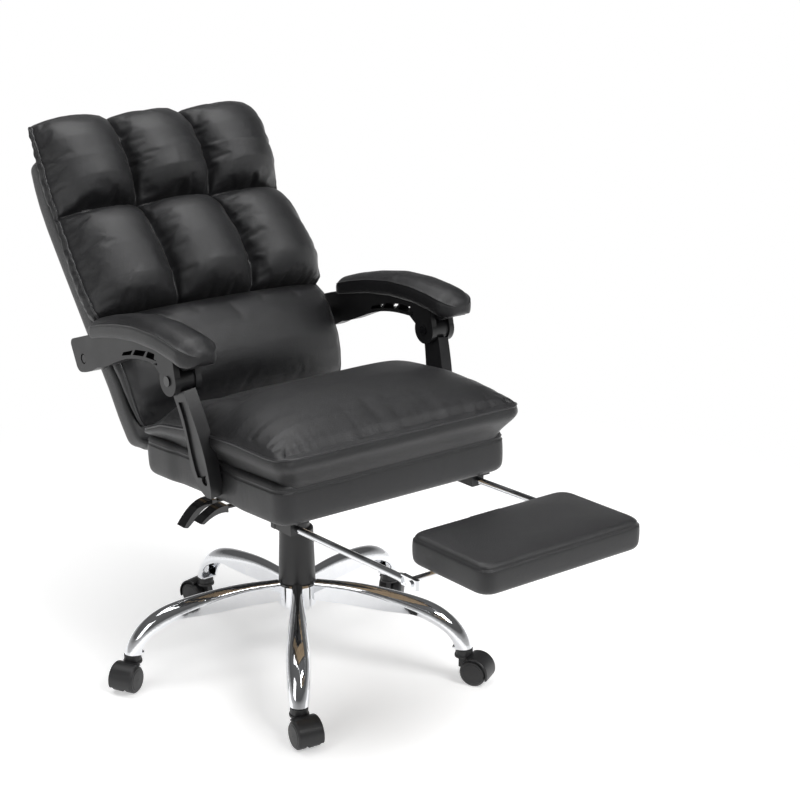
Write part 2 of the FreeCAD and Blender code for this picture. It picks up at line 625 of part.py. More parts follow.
# Armrest frame: curved web with four slots, flange under the pad, forked cheeks at the pivot
PAD_LINE = [(-128, 657), (-92, 665), (-40, 672), (30, 672), (100, 664), (160, 652), (212, 639)]
UNDER = [(205, 581), (179, 588), (152, 598.5), (104, 617.5), (79, 624.5), (29, 631.5), (-20, 632)]
web_edges = [
    PAD_LINE, [PAD_LINE[-1], (240, 634)], [(240, 634), (296, 617)],
    [(296, 617), (304, 609), (302, 600)], [(302, 600), (285, 566)],
    [(285, 566), (277, 560), (266, 559)], [(266, 559), (232, 568), (205, 581)],
    UNDER, [UNDER[-1], (-36, 640)], [(-36, 640), (-66, 645), (-96, 640)],
    [(-96, 640), (-128, 657)]]
web_in = ARM_MID - ARM_T / 2.0
frame = outline_yz(web_edges, web_in, web_in + ARM_T)
flange_low = [(y, z - 5) for y, z in reversed(PAD_LINE)]
flange_edges = [PAD_LINE, [PAD_LINE[-1], flange_low[0]], flange_low, [flange_low[-1], PAD_LINE[0]]]
flange = outline_yz(flange_edges, ARM_MID - 21, ARM_MID + 21)
cheek_edges = [
    [(-90, 628), (-66 - 18, 658)], [(-84, 658), (-66, 662), (-30, 664)], [(-30, 664), (-20, 640)],
    [(-20, 640), (-44, 624)], [(-44, 624), (-90, 628)]]
fork = []
for x0 in (ARM_MID - EYE_T / 2.0 - 0.3 - CHEEK_T, ARM_MID + EYE_T / 2.0 + 0.3):
    cheek = outline_yz(cheek_edges, x0, x0 + CHEEK_T)
    fork.append(join([cheek, xpin(DISC_R, x0, x0 + CHEEK_T, *ARM_PIVOT)]))
    fork.append(box(min(x0, web_in), max(x0 + CHEEK_T, web_in + ARM_T), -70, -26, 652, 668))
eye_space = xpin(DISC_R + 2, eye_in - 0.3, eye_in + EYE_T + 0.3, *ARM_PIVOT)
eye_space = eye_space.fuse(box(eye_in - 0.3, eye_in + EYE_T + 0.3, -150, -20, 560, 640))
frame = frame.cut(eye_space)
frame = join([frame, flange] + fork)
SLOTS = (
    ((-34, 646), (-18, 648), (-16, 639), (-34, 638.5)),
    ((-11, 650), (18, 650), (27, 638), (-8, 638.5)),
    ((25, 649), (62, 644), (72, 632.5), (35, 637.5)),
    ((71, 641), (106, 630), (111, 623), (80, 630.5)),
)
for slot in SLOTS:
    frame = frame.cut(plate_yz(list(slot), ARM_MID - 55, ARM_MID + 55))
frame = frame.cut(xpin(PIVOT_R, ARM_MID - 55, ARM_MID + 55, *ARM_PIVOT))
frame = frame.cut(xpin(REAR_BOLT_R + REAR_PLAY, ARM_MID - 55, ARM_MID + 55, *ARM_REAR))
frame = frame.cut(xpin(9.5, ARM_MID + ARM_T / 2.0 - 6, ARM_MID + 55, *ARM_REAR))
save("armrest_frame_left", frame)
save("armrest_frame_right", mirrored(frame))
pin_in = ARM_MID - EYE_T / 2.0 - 0.3 - CHEEK_T
pin_out = ARM_MID + EYE_T / 2.0 + 0.3 + CHEEK_T
pivot = join([xpin(PIVOT_R, pin_in, pin_out, *ARM_PIVOT),
              xpin(9, pin_out, pin_out + 2.5, *ARM_PIVOT),
              xpin(9, pin_in - 2.5, pin_in, *ARM_PIVOT)])
save("arm_pivot_pin_left", pivot)
save("arm_pivot_pin_right", mirrored(pivot))

# Armrest pad stations: y, low z, top z, half width
PAD_STATIONS = (
    (-136, 662, 669, 14), (-127, 658.5, 684, 25), (-100, 664.5, 694, 31), (-40, 672.5, 702, 33),
    (30, 672.5, 702, 32), (100, 664.5, 692, 29), (160, 652.5, 679, 26), (206, 641.5, 664, 23),
    (215, 641, 657, 18),
)


def pad_section(y, low, top, half):
    h = top - low

    def at(x, z):
        return V(ARM_MID + x, y, z)

    return Part.Wire([
        Part.makeLine(at(-half * 0.86, low), at(half * 0.86, low)),
        arc(at(half * 0.86, low), at(half, low + 0.38 * h), at(half * 0.84, low + 0.76 * h)),
        arc(at(half * 0.84, low + 0.76 * h), at(0, top), at(-half * 0.84, low + 0.76 * h)),
        arc(at(-half * 0.84, low + 0.76 * h), at(-half, low + 0.38 * h), at(-half * 0.86, low)),
    ])


arm_pad = Part.makeLoft([pad_section(*s) for s in PAD_STATIONS], True, False)
arm_pad = arm_pad.cut(frame)
save("armrest_pad_left", arm_pad)
save("armrest_pad_right", mirrored(arm_pad))

# Rear pivots: shoulder bolts from the shell's sides
SHELL_SIDE = 247.0
rear_bolt = join([xpin(REAR_BOLT_R, SHELL_SIDE - 20, ARM_MID + ARM_T / 2.0 - 5, *ARM_REAR),
                  xpin(11, SHELL_SIDE - 2, web_in - 0.4, *ARM_REAR),
                  xpin(7.5, ARM_MID + ARM_T / 2.0 - 5.6, ARM_MID + ARM_T / 2.0 - 1, *ARM_REAR)])
shell = shell.cut(rear_bolt).cut(mirrored(rear_bolt))
save("arm_rear_bolts", Part.makeCompound([rear_bolt, mirrored(rear_bolt)]))
save("back_shell", shell)
save("back_bracket", bracket)

# Levers: a steel rod hinged in the tray, and a curved grip
def lever(spot, name):
    y, tip_x, drop = spot
    z = LEVER_Z
    rod = xpin(LEVER_R, LEVER_GRIP_X, LEVER_PIVOT_X, y, z)
    eye = cyl(LEVER_PIVOT_R + 3.5, LEVER_EYE_T, (LEVER_PIVOT_X, y - LEVER_EYE_T / 2.0, z), (0, 1, 0))
    rod = join([rod, eye])
    rod = rod.cut(cyl(LEVER_PIVOT_R + RUN, 20, (LEVER_PIVOT_X, y - 10, z), (0, 1, 0)))
    heel_x = LEVER_GRIP_X + 12
    span = tip_x - heel_x
    top = [(heel_x, z + 6.5), (heel_x + 0.44 * span, z + 4), (heel_x + 0.77 * span, z - 0.39 * drop),
           (tip_x, z - drop)]
    low = [(tip_x + 7, z - drop - 2), (heel_x + 0.64 * span, z - 0.58 * drop - 1),
           (heel_x + 0.38 * span, z - 5), (heel_x, z - 6.5)]
    edges = []
    for line in (top, low):
        curve = Part.BSplineCurve()
        curve.interpolate([V(px, y - 12, pz) for px, pz in line])
        edges.append(curve.toShape())
    tip = Part.makeLine(edges[0].Vertexes[-1].Point, edges[1].Vertexes[0].Point)
    heel = Part.makeLine(edges[1].Vertexes[-1].Point, edges[0].Vertexes[0].Point)
    grip = Part.Face(Part.Wire([edges[0], tip, edges[1], heel])).extrude(V(0, 24, 0))
    save(name + "_rod", rod)
    save(name + "_grip", grip.cut(rod))


lever(HEIGHT_LEVER, "height_lever")
lever(RECLINE_LEVER, "recline_lever")


# Footrest rails, guides, connectors and cross bar
def rail_z(y):
    return RAIL_Z - (y - RAIL_FRONT) * math.tan(math.radians(RAIL_PITCH))


rail_dir = (0, math.cos(math.radians(RAIL_PITCH)), -math.sin(math.radians(RAIL_PITCH)))
rails, connectors, guides = [], [], []
for side in (-1, 1):
    x = side * RAIL_X
    rails.append(ring(RAIL_R, RAIL_R - RAIL_WALL, RAIL_LEN, (x, RAIL_FRONT, RAIL_Z), rail_dir))
    plug_at = (x, RAIL_FRONT - 8 * rail_dir[1], RAIL_Z - 8 * rail_dir[2])
    collar = cyl(RAIL_R + 1, 8, plug_at, rail_dir)
    plug = cyl(RAIL_R - RAIL_WALL, 24, plug_at, rail_dir)
    flat = box(x - 4, x + 4, -597, RAIL_FRONT - 4, 394.5, 411)
    flat = rounded(flat, 3.9, lambda e: abs(e.CenterOfMass.y + 597) < 0.1 and
                   abs(e.Vertexes[0].Point.x - e.Vertexes[-1].Point.x) < 1e-6)
    screw = xpin(5.5, min(x + side * 3.5, x + side * 7), max(x + side * 3.5, x + side * 7),
                 -583, 402.5)
    body = join([collar, plug, flat, screw])
    connectors.append(body.cut(xpin(BAR_R, -220, 220, BAR_Y - 8, rail_z(BAR_Y))))
    block_front = box(x - 13, x + 13, -284, -240, rail_z(-273) - 10, 412)
    block_rear = box(x - 13, x + 13, -238, -226, rail_z(-232) - 10, 409)
    strip = box(x - 12, x + 12, -301, 100, SEAT_Z - 3.5, SEAT_Z)
    guide = join([block_front, block_rear]).common(
        seat_tilt(box(x - 20, x + 20, -400, 0, 300, SEAT_Z)))
    guide = join([guide, seat_tilt(strip)])
    bore_at = (x, RAIL_FRONT, RAIL_Z)
    guides.append(guide.cut(cyl(RAIL_R + RUN, 640, bore_at, rail_dir)))
save("footrest_rails", Part.makeCompound(rails))
save("rail_connectors", Part.makeCompound(connectors))
save("rail_guides", Part.makeCompound(guides))
HINGE_BAR = (BAR_Y - 8, rail_z(BAR_Y))
save("footrest_crossbar", xpin(BAR_R, -RAIL_X + 4.2 - 8, RAIL_X + 8 - 4.2, *HINGE_BAR))

# Footrest pad, its board, the clips that turn on the cross bar, and the pull tab
PAD_FRONT = PAD_BACK - PAD_DEPTH
FOOT_BOARD_T = 8.0
foot_board = box(-PAD_HALF + 12, PAD_HALF - 12, PAD_FRONT + 12, PAD_BACK - 12,
                 PAD_LOW, PAD_LOW + FOOT_BOARD_T)
foot_board = rounded(foot_board, 14, upright)
foot_pad = box(-PAD_HALF, PAD_HALF, PAD_FRONT, PAD_BACK, PAD_LOW, PAD_LOW + PAD_T)
foot_pad = rounded(foot_pad, 24, upright)
foot_pad = rounded(foot_pad, 8, lambda e: e.CenterOfMass.z > PAD_LOW + PAD_T - 0.1)
foot_pad = rounded(foot_pad, 3, lambda e: e.CenterOfMass.z < PAD_LOW + 0.1)
foot_pad = foot_pad.cut(foot_board)
tab = box(-31, 31, PAD_BACK - 0.2, PAD_BACK + 9, PAD_LOW + PAD_T - 12, PAD_LOW + PAD_T - 8)
tab = tab.cut(foot_pad)
clips = []
for x in (-120, -20, 100):
    outer = join([xpin(BAR_R + 3, x, x + 20, *HINGE_BAR),
                  box(x, x + 20, HINGE_BAR[0] - 8, HINGE_BAR[0] + 8, HINGE_BAR[1], PAD_LOW),
                  box(x, x + 20, HINGE_BAR[0] - 22, HINGE_BAR[0] + 22, PAD_LOW - 2.5, PAD_LOW)])
    clips.append(outer.cut(xpin(BAR_R + RUN, x - 1, x + 21, *HINGE_BAR)))
save("footrest_pad", foot_pad)
save("footrest_board", foot_board)
save("footrest_clips", Part.makeCompound(clips))
save("pull_tab", tab)

# Casters: hood and web, stem, and a pair of wheels on one axle
def caster(turn, x, y):
    hood_r = WHEEL_R + 4.5
    inner_r = WHEEL_R + 1.6
    half = WEB_T / 2.0 + WHEEL_W + 1.0
    cover = Part.makeCylinder(hood_r, 2 * half, V(CASTER_TRAIL, -half, WHEEL_R), V(0, 1, 0))
    cover = rounded(cover, 4, lambda e: e.Length > 60)
    cover = cover.cut(Part.makeCylinder(inner_r, 2 * half + 2,
                                        V(CASTER_TRAIL, -half - 1, WHEEL_R), V(0, 1, 0)))
    keep = [V(CASTER_TRAIL, 0, WHEEL_R), V(CASTER_TRAIL + 60, 0, WHEEL_R - 22),
            V(CASTER_TRAIL + 60, 0, 100), V(CASTER_TRAIL - 34, 0, 100),
            V(CASTER_TRAIL, 0, WHEEL_R)]
    wedge = Part.Face(Part.makePolygon(keep)).extrude(V(0, 80, 0))
    wedge.translate(V(0, -40, 0))
    cover = cover.common(wedge)
    web = Part.makeCylinder(inner_r + 1, WEB_T, V(CASTER_TRAIL, -WEB_T / 2.0, WHEEL_R), V(0, 1, 0))
    web = web.common(box(CASTER_TRAIL - 22, 80, -10, 10, 9, 60))
    neck = join([cyl(16, 12, (0, 0, 52)), cyl(17.5, 4, (0, 0, 48))])
    arm = box(-9, CASTER_TRAIL, -WEB_T / 2.0, WEB_T / 2.0, 26, 54)
    solid = join([neck, arm, web, cover])
    wheel_room = []
    for s in (-1, 1):
        y0 = WEB_T / 2.0 if s > 0 else -WEB_T / 2.0 - 30
        wheel_room.append(Part.makeCylinder(inner_r, 30, V(CASTER_TRAIL, y0, WHEEL_R), V(0, 1, 0)))
    solid = solid.cut(join(wheel_room))
    axle_hole = Part.makeCylinder(AXLE_R + RUN, WEB_T + 4,
                                  V(CASTER_TRAIL, -WEB_T / 2.0 - 2, WHEEL_R), V(0, 1, 0))
    solid = solid.cut(axle_hole)
    stem = join([cyl(STEM_R, LEG_END_Z + 15 - 44, (0, 0, 44)), cyl(8, 1.2, (0, 0, 64))])
    solid = solid.cut(cyl(STEM_R, 30, (0, 0, 44)))
    wheels = []
    for s in (-1, 1):
        a = s * (WEB_T / 2.0 + 0.5)
        b = s * (WEB_T / 2.0 + 0.5 + WHEEL_W)
        profile = [(AXLE_R, a), (WHEEL_R - 2, a), (WHEEL_R, a + s * 2), (WHEEL_R, b - s * 4),
                   (WHEEL_R - 3.5, b - s * 0.8), (WHEEL_R - 6, b - s * 0.8),
                   (WHEEL_R - 7, b), (0, b + s * 0.8), (0, b - s * 3), (AXLE_R, b - s * 3)]
        wheels.append(revolve(profile, (CASTER_TRAIL, 0, WHEEL_R), (0, 1, 0)))
    reach = WEB_T / 2.0 + 0.5 + WHEEL_W - 3
    axle = Part.makeCylinder(AXLE_R, 2 * reach, V(CASTER_TRAIL, -reach, WHEEL_R), V(0, 1, 0))
    pieces = []
    for shape in (solid, stem, Part.makeCompound(wheels + [axle])):
        placed = turned(shape, (0, 0, 0), (0, 0, 1), turn)
        placed.translate(V(x, y, 0))
        pieces.append(placed)
    return pieces


for i in range(LEG_COUNT):
    angle = math.radians(LEG_FIRST + LEG_STEP * i)
    hood, stem, wheels = caster(CASTER_TURNS[i], STEM_RADIUS * math.cos(angle),
                                STEM_RADIUS * math.sin(angle))
    save("caster_hood_%d" % (i + 1), hood)
    save("caster_stem_%d" % (i + 1), stem)
    save("caster_wheels_%d" % (i + 1), wheels)
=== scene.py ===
import math

import bmesh
import bpy
from mathutils import Matrix, Vector, noise


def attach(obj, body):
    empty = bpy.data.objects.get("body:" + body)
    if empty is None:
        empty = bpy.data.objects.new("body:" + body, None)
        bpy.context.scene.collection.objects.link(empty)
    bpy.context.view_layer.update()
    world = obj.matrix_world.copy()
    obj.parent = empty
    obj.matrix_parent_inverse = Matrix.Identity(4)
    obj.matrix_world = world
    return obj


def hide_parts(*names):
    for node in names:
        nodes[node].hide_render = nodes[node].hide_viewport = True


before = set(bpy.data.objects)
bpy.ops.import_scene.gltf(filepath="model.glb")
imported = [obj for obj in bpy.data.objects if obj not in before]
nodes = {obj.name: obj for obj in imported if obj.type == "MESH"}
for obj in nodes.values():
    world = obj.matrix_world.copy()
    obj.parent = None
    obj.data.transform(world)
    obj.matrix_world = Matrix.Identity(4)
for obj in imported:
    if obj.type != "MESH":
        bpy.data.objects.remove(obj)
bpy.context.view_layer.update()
stage = bpy.context.scene
stage.view_settings.view_transform = "Standard"

# Sizes shared with the frame, in metres
SEAT_Z = 0.3994
SEAT_PITCH = math.radians(-2.83)
BASE_TOP = SEAT_Z + 0.0663
BACK_N = 0.0558
SPINE = (
    (-0.040, 0.1884, 0.3656, 24.5), (0.0, 0.205, 0.402, 24.5), (0.070, 0.234, 0.4657, 24.5),
    (0.128, 0.262, 0.516, 30.5), (0.192, 0.300, 0.568, 36.5), (0.278, 0.352, 0.636, 37.7),
    (0.373, 0.410, 0.711, 38.2), (0.466, 0.466, 0.785, 35.5), (0.512, 0.4915, 0.823, 32.0),
    (0.553, 0.5105, 0.860, 26.0), (0.594, 0.5255, 0.898, 21.0), (0.700, 0.562, 0.997, 20.0),
)


# Small helpers
def between(table, at):
    """Reads a table of rows at a place between two rows. The first column is the place."""
    if at <= table[0][0]:
        return table[0][1:]
    for low, high in zip(table, table[1:]):
        if at <= high[0]:
            f = (at - low[0]) / (high[0] - low[0])
            return tuple(a + (b - a) * f for a, b in zip(low[1:], high[1:]))
    return table[-1][1:]


def on_back(s, x, n):
    """A point at s along the back, x to the side and n forward of the shell's rear face."""
    y, z, lean = between(SPINE, s)
    lean = math.radians(lean)
    return Vector((x, y - n * math.cos(lean), z + n * math.sin(lean)))


def seat_point(x, y, z):
    """Turns a point of the level seat to the seat's pitch."""
    turn = Matrix.Rotation(SEAT_PITCH, 3, "X")
    return turn @ Vector((x, y, z - SEAT_Z)) + Vector((0, 0, SEAT_Z))


def round_plan(x, y, half_x, half_y, radius):
    """Pulls the corners of a rectangle in to a radius."""
    over_x = abs(x) - (half_x - radius)
    over_y = abs(y) - (half_y - radius)
    if over_x <= 0 or over_y <= 0:
        return x, y
    f = max(over_x, over_y) / math.hypot(over_x, over_y)
    return (math.copysign(half_x - radius + over_x * f, x),
            math.copysign(half_y - radius + over_y * f, y))


def grid_box(across, along, deep):
    """A cube of side 2 cut into rows of quads."""
    bm = bmesh.new()
    bmesh.ops.create_cube(bm, size=2.0)
    for axis, count in enumerate((across, along, deep)):
        edges = [e for e in bm.edges if abs(e.verts[0].co[axis] - e.verts[1].co[axis]) > 1e-6]
        bmesh.ops.subdivide_edges(bm, edges=edges, cuts=count - 1, use_grid_fill=True)
    return bm


def piece_from(name, bm, material, body):
    bmesh.ops.recalc_face_normals(bm, faces=bm.faces)
    mesh = bpy.data.meshes.new(name)
    bm.to_mesh(mesh)
    bm.free()
    for face in mesh.polygons:
        face.use_smooth = True
    piece = bpy.data.objects.new(name, mesh)
    stage.collection.objects.link(piece)
    mesh.materials.append(material)
    piece["body"] = body
    return piece


def shaped(name, cuts, place, material, body):
    """A closed box of quads whose points go where place(u, v, w) says, and its held points."""
    bm = grid_box(*cuts)
    held = []
    bm.verts.ensure_lookup_table()
    for vert in bm.verts:
        vert.co, fixed = place(*vert.co)
        if fixed:
            held.append(vert.index)
    return piece_from(name, bm, material, body), held


def to_edges(t, pull=0.35):
    """Crowds the rows of a grid towards its edges, where the sewing is."""
    return t * (1.0 + pull - pull * t * t)


def step(value, low, high):
    """Rises softly from 0 to 1 between low and high."""
    t = min(1.0, max(0.0, (value - low) / (high - low)))
    return t * t * (3.0 - 2.0 * t)


def fold(a, b, seed, size):
    """Smooth noise for puckers, from -1 to 1."""
    return noise.noise(Vector((a / size, b / size, seed)))


def inflate(piece, held, pressure, growth, steps, most, bending=0.4):
    """Blows a cover up from inside as cloth, with the sewn points held and each shift limited."""
    start = [v.co.copy() for v in piece.data.vertices]
    group = piece.vertex_groups.new(name="sewn")
    group.add(held, 1.0, "REPLACE")
    cloth = piece.modifiers.new("Cloth", "CLOTH")
    settings = cloth.settings
    settings.vertex_group_mass = "sewn"
    settings.use_pressure = True
    settings.uniform_pressure_force = pressure
    settings.shrink_min = -growth
    settings.quality = 4
    settings.bending_stiffness = bending
    settings.effector_weights.gravity = 0.0
    cloth.point_cache.frame_start = 1
    cloth.point_cache.frame_end = steps
    for frame_number in range(1, steps + 1):
        stage.frame_set(frame_number)
    solved = piece.evaluated_get(bpy.context.evaluated_depsgraph_get()).data
    moved = [v.co.copy() for v in solved.vertices]
    piece.modifiers.remove(cloth)
    piece.vertex_groups.remove(group)
    stage.frame_set(1)
    for vert, first, last in zip(piece.data.vertices, start, moved):
        shift = last - first
        if shift.length > most:
            shift *= most / shift.length
        vert.co = first + shift


def finer(piece, levels=1):
    smooth = piece.modifiers.new("Subdivision", "SUBSURF")
    smooth.levels = levels
    smooth.render_levels = levels


def tube(name, points, radius, material, body, closed=False):
    line = bpy.data.curves.new(name, "CURVE")
    line.dimensions = "3D"
    line.bevel_depth = radius
    line.bevel_resolution = 2
    line.use_fill_caps = True
    spline = line.splines.new("POLY")
    spline.points.add(len(points) - 1)
    for point, place in zip(spline.points, points):
        point.co = (*place, 1.0)
    spline.use_cyclic_u = closed
    helper = bpy.data.objects.new(name + "_line", line)
    stage.collection.objects.link(helper)
    bpy.context.view_layer.update()
    mesh = bpy.data.meshes.new_from_object(helper)
    bpy.data.objects.remove(helper)
    for face in mesh.polygons:
        face.use_smooth = True
    piece = bpy.data.objects.new(name, mesh)
    stage.collection.objects.link(piece)
    mesh.materials.clear()
    mesh.materials.append(material)
    piece["body"] = body
    return piece


def stitches(name, points, normals, gap, length, radius, material, body):
    """Short threads laid one after the other along a line."""
    bm = bmesh.new()
    walked = 0.0
    next_at = gap / 2.0
    for a, b, n in zip(points, points[1:], normals):
        span = (b - a).length
        if span < 1e-7:
            continue
        way = (b - a) / span
        while next_at <= walked + span:
            centre = a + way * (next_at - walked)
            side = way.cross(n).normalized()
            up = side.cross(way)
            turn = Matrix((side, up, way)).transposed().to_4x4()
            turn.translation = centre
            bmesh.ops.create_cone(bm, segments=6, radius1=radius, radius2=radius, depth=length,
                                  cap_ends=True, matrix=turn)
            next_at += gap
        walked += span
    return piece_from(name, bm, material, body)


def round_walk(place, w, count):
    """Points once round a shaped piece at one level, with the way out at each."""
    points, outward = [], []
    for k in range(count * 4 + 1):
        edge, f = divmod(k % (count * 4), count)
        f = f / count * 2.0 - 1.0
        u, v = ((f, -1.0), (1.0, f), (-f, 1.0), (-1.0, -f))[edge]
        points.append(place(u, v, w)[0])
        outward.append(Vector(((0, -1, 0), (1, 0, 0), (0, 1, 0), (-1, 0, 0))[edge]))
    return points, outward


def side_piping(name, place, steps, out, radius):
    """Piping along both sides of a cushion on the back."""
    for side, label in ((-1.0, "right"), (1.0, "left")):
        line = [place(side, 2.0 * i / steps - 1.0, 1.0)[0] for i in range(steps + 1)]
        line = [p + Vector((side * out, 0, 0)) for p in line]
        made.append(tube(name + "_" + label, line, radius, piping_leather, "back"))


# Shader groups
SURFACE = (("Colour", "NodeSocketColor"), ("Roughness", "NodeSocketFloat"),
           ("Height", "NodeSocketFloat"))


def shader_group(name, inputs):
    """An empty group with its own inputs that puts out a colour, a roughness and a height."""
    tree = bpy.data.node_groups.new(name, "ShaderNodeTree")
    for label, kind, value in inputs:
        socket = tree.interface.new_socket(label, in_out="INPUT", socket_type=kind)
        socket.default_value = value
    for label, kind in SURFACE:
        tree.interface.new_socket(label, in_out="OUTPUT", socket_type=kind)
    ends = tree.nodes.new("NodeGroupInput"), tree.nodes.new("NodeGroupOutput")
    return tree, ends[0], ends[1]


def add(tree, kind, **values):
    node = tree.nodes.new(kind)
    for key, value in values.items():
        if key.startswith("set_"):
            node.inputs[key[4:].replace("_", " ")].default_value = value
        else:
            setattr(node, key, value)
    return node


def ramp(tree, source, stops):
    node = add(tree, "ShaderNodeValToRGB")
    tree.links.new(source, node.inputs[0])
    elements = node.color_ramp.elements
    while len(elements) < len(stops):
        elements.new(0.5)
    for element, (place, level) in zip(elements, stops):
        element.position = place
        element.color = (level, level, level, 1.0)
    return node.outputs[0]


def feed(tree, socket, value):
    """Sets a socket to a number or colour, or links it to another node."""
    if isinstance(value, (int, float, tuple)):
        socket.default_value = value
    else:
        tree.links.new(value, socket)


def maths(tree, operation, a, b):
    node = add(tree, "ShaderNodeMath", operation=operation)
    for socket, value in zip(node.inputs, (a, b)):
        feed(tree, socket, value)
    return node.outputs[0]


def blend_colour(tree, amount, first, second, mode="MIX"):
    node = add(tree, "ShaderNodeMix", data_type="RGBA", blend_type=mode)
    for place, value in ((0, amount), (6, first), (7, second)):
        feed(tree, node.inputs[place], value)
    return node.outputs[2]


def leather_group():
    tree, start, end = shader_group(
        "soft leather",
        (("Tone", "NodeSocketColor", (0.02, 0.02, 0.021, 1.0)), ("Grain", "NodeSocketFloat", 900.0),
         ("Gloss", "NodeSocketFloat", 0.42)))
    place = add(tree, "ShaderNodeTexCoord").outputs["Object"]
    cells = add(tree, "ShaderNodeTexVoronoi", feature="DISTANCE_TO_EDGE")
    tree.links.new(place, cells.inputs["Vector"])
    tree.links.new(start.outputs["Grain"], cells.inputs["Scale"])
    pores = ramp(tree, cells.outputs["Distance"], ((0.0, 0.0), (0.16, 1.0)))
    soft = add(tree, "ShaderNodeTexNoise", set_Scale=14.0, set_Detail=4.0, set_Roughness=0.55)
    tree.links.new(place, soft.inputs["Vector"])
    creases = add(tree, "ShaderNodeTexNoise", set_Scale=75.0, set_Detail=5.0, set_Roughness=0.62,
                  set_Distortion=0.8)
    tree.links.new(place, creases.inputs["Vector"])
    lines = ramp(tree, creases.outputs[0], ((0.44, 1.0), (0.5, 0.0), (0.56, 1.0)))
    height = maths(tree, "ADD", maths(tree, "MULTIPLY", pores, 0.35),
                   maths(tree, "MULTIPLY", lines, 0.25))
    height = maths(tree, "ADD", height, maths(tree, "MULTIPLY", creases.outputs[0], 1.4))
    tree.links.new(height, end.inputs["Height"])
    worn = ramp(tree, soft.outputs[0], ((0.35, 0.82), (0.7, 1.22)))
    tree.links.new(blend_colour(tree, 1.0, start.outputs["Tone"], worn, "MULTIPLY"),
                   end.inputs["Colour"])
    rough = maths(tree, "ADD", start.outputs["Gloss"],
                  maths(tree, "MULTIPLY", maths(tree, "SUBTRACT", soft.outputs[0], 0.5), 0.22))
    tree.links.new(maths(tree, "SUBTRACT", rough, maths(tree, "MULTIPLY", pores, 0.05)),
                   end.inputs["Roughness"])
    return tree


def moulded_group():
    tree, start, end = shader_group(
        "moulded skin",
        (("Tone", "NodeSocketColor", (0.02, 0.02, 0.021, 1.0)),
         ("Texture", "NodeSocketFloat", 1400.0), ("Gloss", "NodeSocketFloat", 0.4)))
    place = add(tree, "ShaderNodeTexCoord").outputs["Object"]
    spark = add(tree, "ShaderNodeTexNoise", set_Detail=2.0, set_Roughness=0.5)
    tree.links.new(place, spark.inputs["Vector"])
    tree.links.new(start.outputs["Texture"], spark.inputs["Scale"])
    cloud = add(tree, "ShaderNodeTexNoise", set_Scale=22.0, set_Detail=5.0, set_Roughness=0.6)
    tree.links.new(place, cloud.inputs["Vector"])
    tree.links.new(spark.outputs[0], end.inputs["Height"])
    shade = ramp(tree, cloud.outputs[0], ((0.3, 0.85), (0.72, 1.2)))
    tree.links.new(blend_colour(tree, 1.0, start.outputs["Tone"], shade, "MULTIPLY"),
                   end.inputs["Colour"])
    drift = maths(tree, "MULTIPLY", maths(tree, "SUBTRACT", cloud.outputs[0], 0.5), 0.25)
    tree.links.new(maths(tree, "ADD", start.outputs["Gloss"], drift), end.inputs["Roughness"])
    return tree


def metal_group():
    tree, start, end = shader_group(
        "handled metal",
        (("Tone", "NodeSocketColor", (0.8, 0.8, 0.8, 1.0)), ("Gloss", "NodeSocketFloat", 0.06),
         ("Smudge", "NodeSocketFloat", 0.06)))
    place = add(tree, "ShaderNodeTexCoord").outputs["Object"]
    cloud = add(tree, "ShaderNodeTexNoise", set_Scale=30.0, set_Detail=6.0, set_Roughness=0.65)
    tree.links.new(place, cloud.inputs["Vector"])
    fine = add(tree, "ShaderNodeTexNoise", set_Scale=420.0, set_Detail=2.0)
    tree.links.new(place, fine.inputs["Vector"])
    shade = ramp(tree, cloud.outputs[0], ((0.3, 0.94), (0.7, 1.0)))
    tree.links.new(blend_colour(tree, 1.0, start.outputs["Tone"], shade, "MULTIPLY"),
                   end.inputs["Colour"])
    spots = ramp(tree, cloud.outputs[0], ((0.5, 0.0), (0.72, 1.0)))
    tree.links.new(maths(tree, "ADD", start.outputs["Gloss"],
                         maths(tree, "MULTIPLY", spots, start.outputs["Smudge"])),
                   end.inputs["Roughness"])
    tree.links.new(fine.outputs[0], end.inputs["Height"])
    return tree


GROUPS = {"leather": leather_group(), "moulded": moulded_group(), "metal": metal_group()}


def finish_from(name, group, values, bump, depth, **sockets):
    material = bpy.data.materials.new(name)
    material.use_nodes = True
    tree = material.node_tree
    shader = tree.nodes["Principled BSDF"]
    made = add(tree, "ShaderNodeGroup", node_tree=GROUPS[group])
    for label, value in values.items():
        made.inputs[label].default_value = value
    tree.links.new(made.outputs["Colour"], shader.inputs["Base Color"])
    tree.links.new(made.outputs["Roughness"], shader.inputs["Roughness"])
    relief = add(tree, "ShaderNodeBump", set_Strength=bump, set_Distance=depth)
    tree.links.new(made.outputs["Height"], relief.inputs["Height"])
    tree.links.new(relief.outputs[0], shader.inputs["Normal"])
    for label, value in sockets.items():
        shader.inputs[label.replace("_", " ")].default_value = value
    return material


